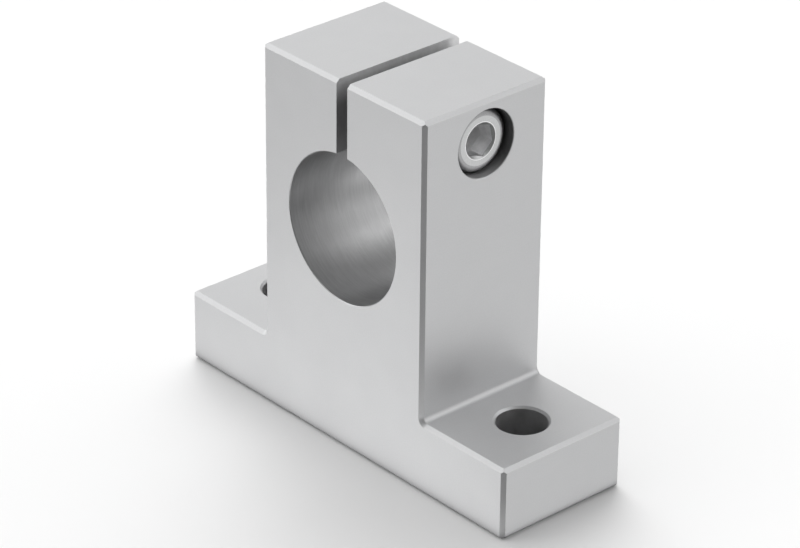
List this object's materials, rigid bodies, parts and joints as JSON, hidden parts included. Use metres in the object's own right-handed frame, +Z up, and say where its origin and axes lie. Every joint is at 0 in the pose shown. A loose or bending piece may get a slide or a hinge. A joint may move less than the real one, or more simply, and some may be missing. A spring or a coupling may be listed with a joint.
{
  "type": "shaft support block",
  "caption": "Upright support block that clamps the end of a round shaft in a split bore, with drilled feet for bolting down and a socket head clamp screw.",
  "frame": {"origin": "middle of the base's underside", "axes": "+X across the feet, towards the side that the screw's head is on; +Y along the shaft bore; +Z up from the base"},
  "size_m": [0.06, 0.02, 0.051],
  "materials": {
    "aluminium": "fine satin, clear anodised",
    "screw_steel": "bright plated"
  },
  "bodies": {
    "block": {"support_block": "aluminium"},
    "screw": {"clamp_screw": "screw_steel"}
  },
  "joints": [
    {"name": "clamp_screw_turn", "type": "hinge", "parent": "block", "child": "screw", "pos_m": [0.009, 0, 0.0452], "axis": [1, 0, 0], "range_deg": [0, 360]}
  ]
}
